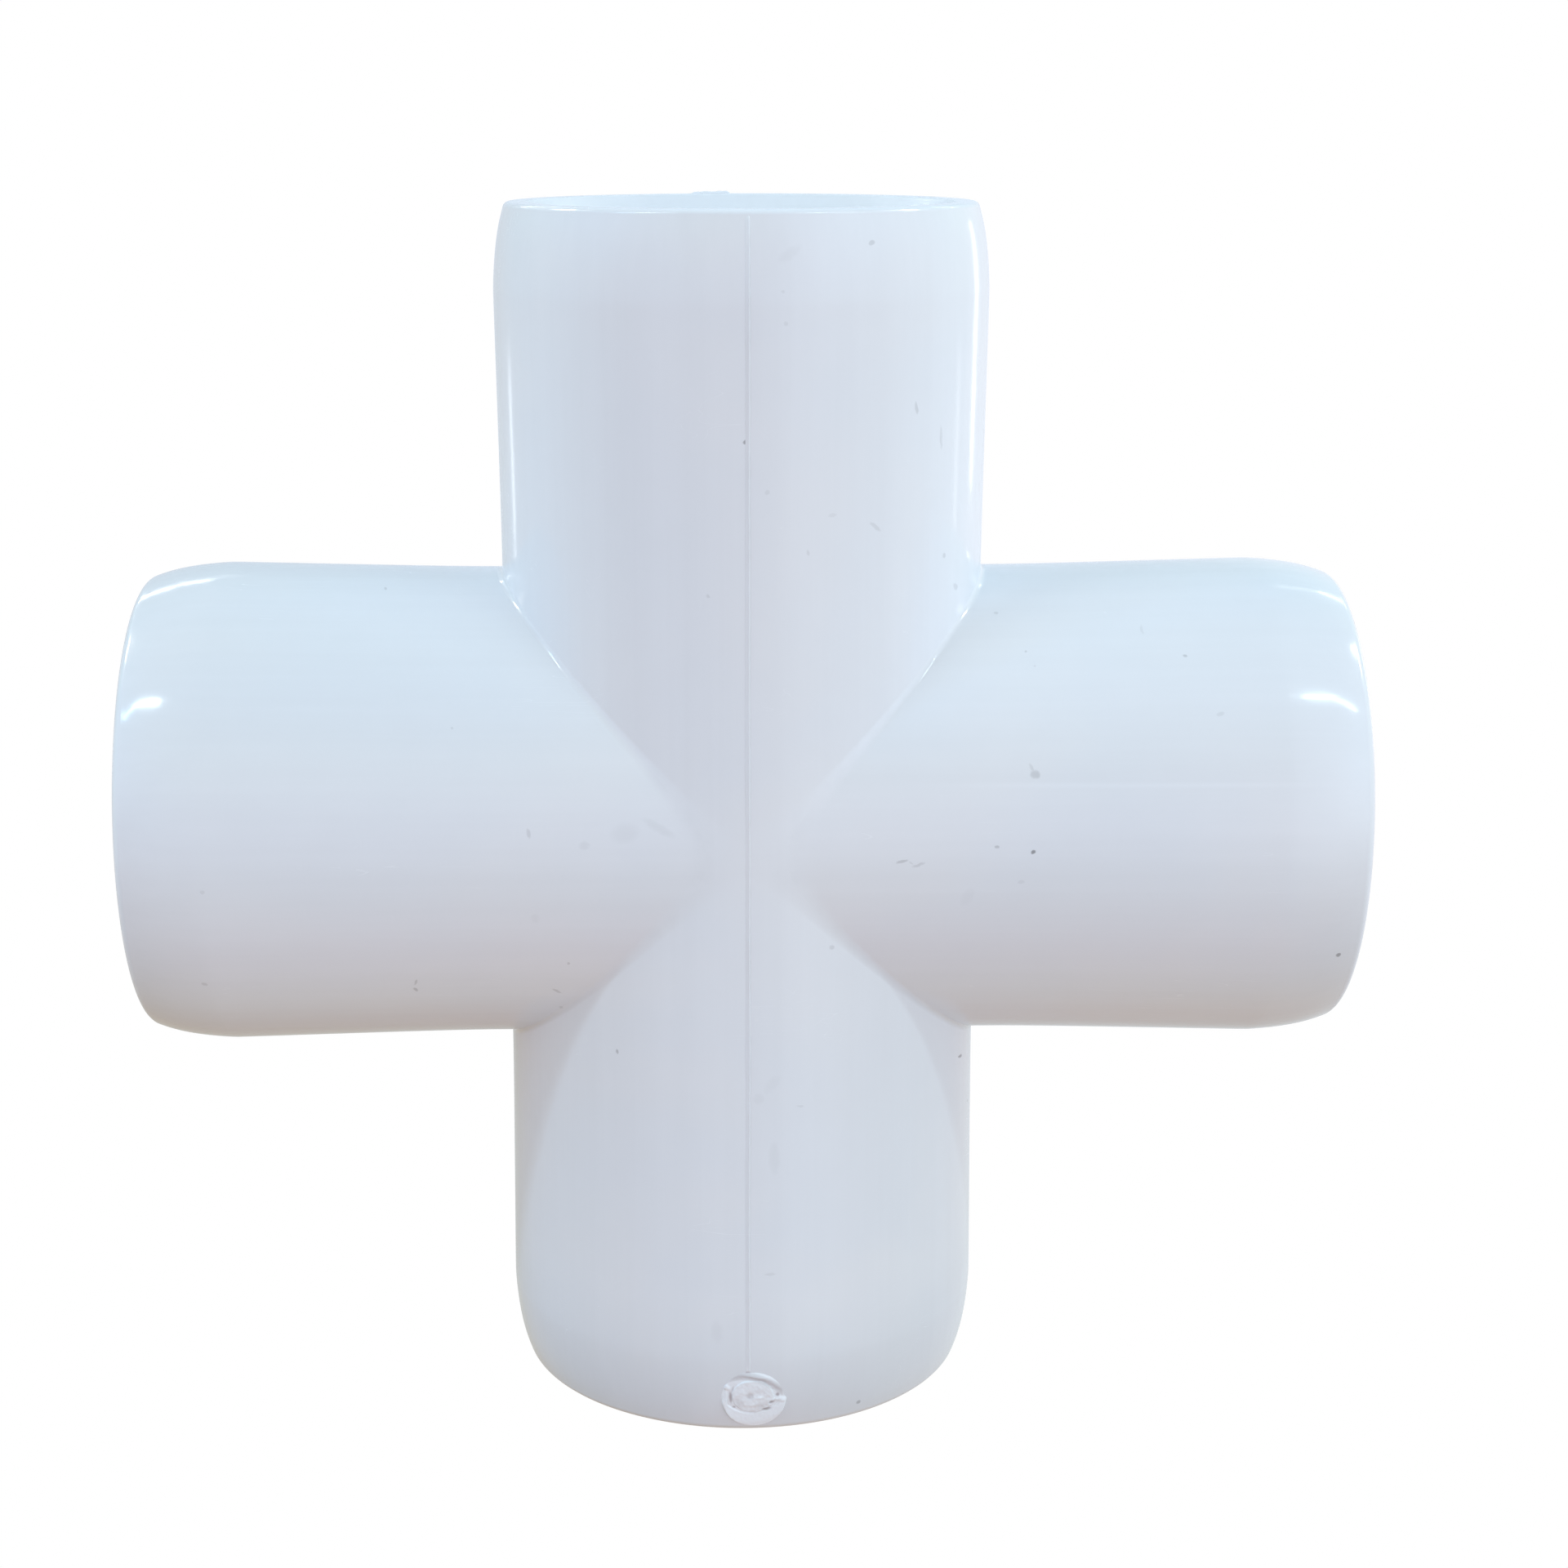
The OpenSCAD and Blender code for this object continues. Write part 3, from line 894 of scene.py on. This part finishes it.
def brightness(nodes, skin, piece):
    """Uneven tone about 1, with what is peculiar to each piece: painted reflection streaks on
    the right branch, a darker lower lip and painted shade in the crease.
    """
    value = nodes.math("MULTIPLY_ADD", nodes.swing(skin.streak), 0.050, 1.0)
    value = nodes.plus(value, (nodes.swing(skin.fine), 0.012), (nodes.swing(skin.cloud), 0.045),
                       (nodes.swing(skin.mottle), 0.022), (nodes.swing(skin.grain), 0.010))
    if piece in ("right", "centre"):
        # painted reflection: two faint bright streaks along the branch, drifting slightly along
        # it
        angle = nodes.math("ARCTAN2", skin.z, nodes.times(skin.y, -1.0))
        angle = nodes.math("MULTIPLY_ADD", skin.x, 0.00035, angle)
        extent = nodes.times(nodes.band(skin.x, 9.5, 21.0), nodes.band(skin.x, 40.0, 30.0))
        for at, width, gain in REFLECTION_STREAKS:
            off = nodes.math("DIVIDE", nodes.math("SUBTRACT", angle, math.radians(at)), width)
            bell = nodes.math("EXPONENT", nodes.times(nodes.times(off, off), -1.0))
            value = nodes.plus(value, (nodes.times(bell, extent), gain))
    if piece == "bottom":
        # darker towards the end of the lower lip
        lower_lip_darkening = nodes.times(nodes.band(skin.z, -31.0, -40.0), 0.084)
        value = nodes.math("SUBTRACT", value, lower_lip_darkening)
    if piece == "centre":
        # painted shade: the crease where the arms meet is darkened in patches
        crease = nodes.band(nodes.largest([skin.run_gap, skin.branch_gap]), 0.30, 0.02)
        crease = nodes.times(crease, nodes.rest(skin.inside))
        patchy = nodes.band(nodes.noise(skin.place, scale=0.5, rough=0.6), 0.40, 0.66)
        crease = nodes.times(crease, patchy)
        value = nodes.math("SUBTRACT", value, nodes.times(crease, 0.022))
    return value


def hairlines(nodes, skin):
    """Hairline scratches along the mid-levels of noise, gathered in patches."""
    lines = []
    for rotation, shift in SCRATCHES:
        turned = nodes.mapping(skin.place, scale=(0.05, 1.1, 0.9), rotation=rotation,
                               location=(shift, 0, 0))
        level = nodes.noise(turned, scale=0.9, detail=1.0, rough=0.4, distort=0.2)
        level = nodes.math("ABSOLUTE", nodes.swing(level))
        lines.append(nodes.band(level, 0.0035, 0.0008))
    patch = nodes.band(nodes.noise(skin.place, scale=0.14, detail=2.0), 0.52, 0.66)
    return nodes.times(nodes.largest(lines), patch)


def roughness(nodes, skin, dark):
    """Glossy outside; duller in the bores, on marks, scratches and rubbed rims."""
    rubbed = nodes.times(nodes.band(skin.axial, REACH - 1.0, REACH - 0.15),
                         nodes.band(nodes.noise(skin.place, scale=1.1, rough=0.6), 0.35, 0.62))
    value = nodes.math("MULTIPLY_ADD", nodes.swing(skin.mottle), 0.05, 0.120)
    value = nodes.plus(value, (nodes.swing(skin.streak), 0.05), (rubbed, 0.10),
                       (skin.inside, 0.17), (dark, 0.35), (hairlines(nodes, skin), 0.16))
    return nodes.math("MAXIMUM", value, 0.06)


def waviness(nodes, skin):
    """Bump of the waviness left by the mould and its polishing marks."""
    height = nodes.times(nodes.noise(skin.place, scale=0.50, detail=2.0), 1.0)
    height = nodes.plus(height, (nodes.noise(skin.place, scale=3.2, detail=2.0), 0.09),
                        (skin.streak, 0.45))
    bump = nodes.add("ShaderNodeBump")
    nodes.put(1.0, bump.inputs["Strength"])
    nodes.put(0.0105 * MM, bump.inputs["Distance"])
    nodes.put(height, bump.inputs["Height"])
    return bump.outputs[0]


def pvc(name, piece=None, soil=0.0, tone=1.0):
    """Glossy moulded PVC: a cool white body with cloudy tone, flow streaks
    along each arm, an uneven gloss, faint waviness and the marks of use, with
    the painted reflection and painted shade that brightness() adds to some pieces.
    soil is the strength of the mesh's soil attribute (dirt
    and painted shade), tone the overall brightness."""
    material, nodes = new_material(name)
    output = nodes.add("ShaderNodeOutputMaterial")
    shader = nodes.add("ShaderNodeBsdfPrincipled")
    nodes.put(shader.outputs[0], output.inputs[0])
    skin = skin_fields(nodes)
    tint = nodes.mix(nodes.band(skin.cloud, 0.35, 0.68), *TINTS)
    color = nodes.vector("SCALE", tint,
                         scale=nodes.times(brightness(nodes, skin, piece), tone))
    dark, pale = use_marks(nodes, skin, piece)
    color = nodes.mix(dark, color, DARK_MARK)
    if pale is not None:
        color = nodes.mix(pale, color, PALE_MARK)
    # dirt and painted shade from the mesh's soil attribute
    if soil:
        layer = nodes.add("ShaderNodeAttribute", attribute_name="soil")
        amount = nodes.math("MULTIPLY", layer.outputs["Fac"], soil, clamp=True)
        color = nodes.mix(amount, color, DIRT_AND_SHADE_COLOUR)
    for key, value in (("Base Color", color), ("Roughness", roughness(nodes, skin, dark)),
                       ("IOR", 1.53), ("Normal", waviness(nodes, skin))):
        nodes.put(value, shader.inputs[key])
    return material


# ---------------------------------------------------------------- pieces
skins = {piece: pvc(name, piece) for piece, name in (
    ("centre", "pvc_centre"), ("top", "pvc_run_top"), ("bottom", "pvc_run_bottom"),
    ("left", "pvc_branch_left"), ("right", "pvc_branch_right"))}
front_line_skin = pvc("pvc_parting_line", soil=0.125, tone=1.005)
rear_line_skin = pvc("pvc_parting_line_rear", soil=0.115, tone=1.005)
mark_skin = pvc("pvc_gate_mark", soil=0.42, tone=1.065)
flash_skin = pvc("pvc_flash", tone=1.01)

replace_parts(centre(skins["centre"]), "centre_body")
for piece, arm, axis in (("top", RUN_TOP, "+z"), ("bottom", RUN, "-z"),
                         ("left", BRANCH, "-x"), ("right", BRANCH, "+x")):
    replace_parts(socket(piece + "_socket_skin", arm, axis, skins[piece]), piece + "_socket")
LINE_INSET = 0.12                  # the lines end just short of the end faces
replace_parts(parting_line("front_line_skin", -1, MARK_HIGH[2] - 0.25, REACH - LINE_INSET,
                         11, front_line_skin), "front_parting_line")
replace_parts(parting_line("rear_line_skin", 1, -REACH + LINE_INSET, REACH - LINE_INSET,
                         23, rear_line_skin), "rear_parting_line")
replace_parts(moulding_mark(mark_skin), "moulding_mark")
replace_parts(rim_flash(flash_skin), "rim_flash")


# ---------------------------------------------------------------- camera
def add_camera(distance, tilt, yaw, roll, lens, shift):
    """A camera in front of the part (-Y), tilt above it; distance in mm,
    angles in degrees, lens in mm on a 36 mm sensor."""
    data = bpy.data.cameras.new("camera")
    camera = bpy.data.objects.new("camera", data)
    bpy.context.scene.collection.objects.link(camera)
    tilt, yaw, roll = math.radians(tilt), math.radians(yaw), math.radians(roll)
    back = np.array([math.sin(yaw) * math.cos(tilt), -math.cos(yaw) * math.cos(tilt),
                     math.sin(tilt)])
    right = np.cross(-back, [0, 0, 1.0])
    right /= np.linalg.norm(right)
    up = np.cross(right, -back)
    pose = np.eye(4)
    pose[:3, 0] = right * math.cos(roll) + up * math.sin(roll)
    pose[:3, 1] = -right * math.sin(roll) + up * math.cos(roll)
    pose[:3, 2] = back
    pose[:3, 3] = back * distance * MM
    camera.matrix_world = Matrix(pose.tolist())
    data.sensor_width = 36.0
    data.lens = lens
    data.shift_x, data.shift_y = shift
    data.clip_start = 0.005
    bpy.context.scene.camera = camera


add_camera(distance=193.67, tilt=14.363, yaw=-1.2, roll=-0.053,
           lens=61.906875, shift=(0.02693229, 0.007755208))


# ---------------------------------------------------------------- floor
def add_floor(half_size):
    """White to the camera from above, clear to every other ray."""
    z = cad_box[0][2]
    mesh = bpy.data.meshes.new("floor")
    corners = ((-1, -1), (1, -1), (1, 1), (-1, 1))
    mesh.from_pydata([(x * half_size, y * half_size, z) for x, y in corners], [],
                     [(0, 1, 2, 3)])
    floor = bpy.data.objects.new("floor", mesh)
    bpy.context.scene.collection.objects.link(floor)
    material, nodes = new_material("floor_pale")
    output = nodes.add("ShaderNodeOutputMaterial")
    clear = nodes.add("ShaderNodeBsdfTransparent")
    white = nodes.add("ShaderNodeEmission")
    nodes.put((1, 1, 1, 1), white.inputs[0])
    to_camera = nodes.add("ShaderNodeLightPath").outputs["Is Camera Ray"]
    above = nodes.rest(nodes.add("ShaderNodeNewGeometry").outputs["Backfacing"])
    mix = nodes.add("ShaderNodeMixShader")
    nodes.put(nodes.times(to_camera, above), mix.inputs[0])
    nodes.put(clear.outputs[0], mix.inputs[1])
    nodes.put(white.outputs[0], mix.inputs[2])
    nodes.put(mix.outputs[0], output.inputs[0])
    mesh.materials.append(material)


add_floor(half_size=3.0)

# ---------------------------------------------------------------- world
# Soft studio fill: broad pools of light round the part, each given by its
# azimuth (0 in front, 90 on the right), elevation (degrees) and colour.
FILL = [
    (-148, 0, 0.23, 0.20, 0.18), (148, 0, 0.50, 0.38, 0.36), (-32, 0, 0.39, 0.37, 0.56),
    (32, 0, 1.20, 1.33, 1.58), (0, 58, 0.27, 0.33, 0.43), (180, 58, 0.29, 0.39, 0.54),
    (0, -58, 0.58, 0.38, 0.45), (180, -58, 0.17, 0.02, 0.00), (-90, -32, 0.04, 0.02, 0.02),
    (-90, 32, 0.05, 0.32, 0.64), (180, 0, 0.39, 0.47, 0.59), (-159, 30, 0.19, 0.15, 0.17),
    (-159, -30, 0.26, 0.24, 0.15), (-122, -18, 0.45, 0.37, 0.39), (-122, 18, 0.08, 0.28, 0.31),
    (159, 30, 0.18, 0.33, 0.36), (159, -30, 0.35, 0.44, 0.46), (122, -18, 0.34, 0.29, 0.35),
    (122, 18, 0.40, 0.56, 0.47), (0, 0, 0.19, 0.05, 0.11), (-21, 30, 0.53, 0.53, 0.21),
    (-21, -30, 0.05, 0.07, 0.00), (-58, -18, 0.27, 0.14, 0.04), (-58, 18, 0.48, 0.58, 0.72),
    (21, 30, 0.28, 0.19, 0.14), (21, -30, 0.00, 0.05, 0.00), (58, -18, 0.37, 0.30, 0.22),
    (58, 18, 0.65, 0.85, 1.00), (0, 90, 0.20, 0.23, 0.15), (-122, 54, 0.28, 0.19, 0.13),
    (0, -90, 0.42, 0.34, 0.14), (58, -54, 0.01, 0.07, 0.09), (122, -54, 0.29, 0.26, 0.16),
    (-122, -54, 0.09, 0.11, 0.00), (90, 0, 0.72, 0.71, 0.66), (-90, 0, 0.77, 0.83, 0.84),
]
POOL_FOCUS = 9.0                   # power of the cosine: higher is tighter


def heading(azimuth, elevation):
    a, e = math.radians(azimuth), math.radians(elevation)
    return math.sin(a) * math.cos(e), -math.cos(a) * math.cos(e), math.sin(e)


def add_world():
    """The pools light the part; the camera sees plain white."""
    world = bpy.data.worlds.new("studio")
    bpy.context.scene.world = world
    world.use_nodes = True
    nodes = Nodes(world.node_tree)
    output = nodes.add("ShaderNodeOutputWorld")
    look = nodes.add("ShaderNodeTexCoord").outputs["Generated"]
    pools = []
    for azimuth, elevation, *color in FILL:
        facing = nodes.vector("DOT_PRODUCT", look, heading(azimuth, elevation))
        spread = nodes.math("POWER", nodes.math("MAXIMUM", facing, 0.0), POOL_FOCUS)
        pools.append(nodes.vector("SCALE", color, scale=spread))
    fill = nodes.add("ShaderNodeBackground")
    nodes.put(reduce(lambda a, b: nodes.vector("ADD", a, b), pools), fill.inputs[0])
    white = nodes.add("ShaderNodeBackground")
    nodes.put((1, 1, 1, 1), white.inputs[0])
    nodes.put(1.0, white.inputs[1])
    mix = nodes.add("ShaderNodeMixShader")
    nodes.put(nodes.add("ShaderNodeLightPath").outputs["Is Camera Ray"], mix.inputs[0])
    nodes.put(fill.outputs[0], mix.inputs[1])
    nodes.put(white.outputs[0], mix.inputs[2])
    nodes.put(mix.outputs[0], output.inputs[0])


add_world()

# ---------------------------------------------------------------- lamps
LAMP_WATTS = 9.766                 # power of a lamp whose strongest channel is 1
TUBE_DISTANCE = 2.1                # metres from the part
PANEL_DISTANCE = 2.5
# Long thin lamps across the view: height of the start and end above the front
# horizon (degrees, over 90 is behind), their places along X over the lamp's
# distance, thickness (m), colour with power.
TUBES = [
    ("key_left_near", (64, 64), (-0.45, -0.52), 0.06, (0.009, 0.010, 0.010)),
    ("key_left", (64, 68), (-0.52, -0.80), 0.036, (0.63, 0.77, 0.84)),
    ("key_left_far", (68, 66), (-0.80, -1.15), 0.050, (0.28, 0.49, 0.68)),
    ("key_right_near", (61.5, 62), (0.30, 0.42), 0.07, (0.017, 0.020, 0.021)),
    ("key_right", (62, 64.5), (0.42, 0.60), 0.046, (0.27, 0.36, 0.38)),
    ("key_right_far", (64.5, 64), (0.60, 1.05), 0.055, (0.41, 0.51, 0.54)),
    ("top_left", (118, 118), (-0.80, -1.16), 0.055, (2.64, 2.60, 2.32)),
    ("top_right", (108, 108), (0.90, 1.39), 0.05, (3.66, 3.94, 4.52)),
    ("rear_left_near", (150, 146.5), (-0.165, -0.24), 0.025, (0.0035, 0.0036, 0.0038)),
    ("rear_left", (146.5, 146), (-0.24, -0.36), 0.040, (0.050, 0.053, 0.055)),
    ("rear_left_far", (146, 153), (-0.36, -0.62), 0.055, (0.16, 0.17, 0.18)),
    ("rear_left_tail", (153, 137), (-0.62, -1.10), 0.05, (0.08, 0.085, 0.09)),
    ("rear_right", (134, 139), (0.30, 0.46), 0.045, (0.011, 0.0115, 0.012)),
    ("rear_right_far", (139, 147), (0.46, 0.75), 0.05, (0.12, 0.13, 0.13)),
]
# Panels facing the part: azimuth, elevation, width and height (m), colour with power.
PANELS = [
    ("strip_right", 137, 0, 0.14, 0.66, (0.095, 0.095, 0.095)),
    ("strip_right_low", 119, -8, 0.10, 0.26, (0.010, 0.010, 0.010)),
    ("strip_left", -138, -7, 0.12, 0.17, (0.014, 0.015, 0.016)),
]


def area_lamp(name, width, height, color):
    strongest = max(color)
    light = bpy.data.lights.new(name, "AREA")
    light.energy = LAMP_WATTS * strongest
    light.color = [c / strongest for c in color]
    light.shape = "RECTANGLE"
    light.size = width
    light.size_y = height
    lamp = bpy.data.objects.new(name, light)
    bpy.context.scene.collection.objects.link(lamp)
    return lamp


def tube(name, heights, reaches, thickness, color):
    start, end = [
        Vector((TUBE_DISTANCE * reach, -TUBE_DISTANCE * math.cos(math.radians(height)),
                TUBE_DISTANCE * math.sin(math.radians(height))))
        for height, reach in zip(heights, reaches)]
    middle = (start + end) / 2
    x = (end - start) * (1 if reaches[1] > reaches[0] else -1)
    lamp = area_lamp(name, x.length, thickness, color)
    x = x.normalized()
    z = Vector((0, middle.y, middle.z))
    z = (z - x * z.dot(x)).normalized()
    pose = Matrix((x, z.cross(x), z)).transposed().to_4x4()
    pose.translation = middle
    lamp.matrix_world = pose


def panel(name, azimuth, elevation, width, height, color):
    lamp = area_lamp(name, width, height, color)
    place = Vector([PANEL_DISTANCE * v for v in heading(azimuth, elevation)])
    lamp.location = place
    lamp.rotation_euler = place.to_track_quat("Z", "Y").to_euler()


for row in TUBES:
    tube(*row)
for row in PANELS:
    panel(*row)

bpy.context.scene.view_settings.view_transform = "Standard"
bpy.context.scene.view_settings.look = "None"
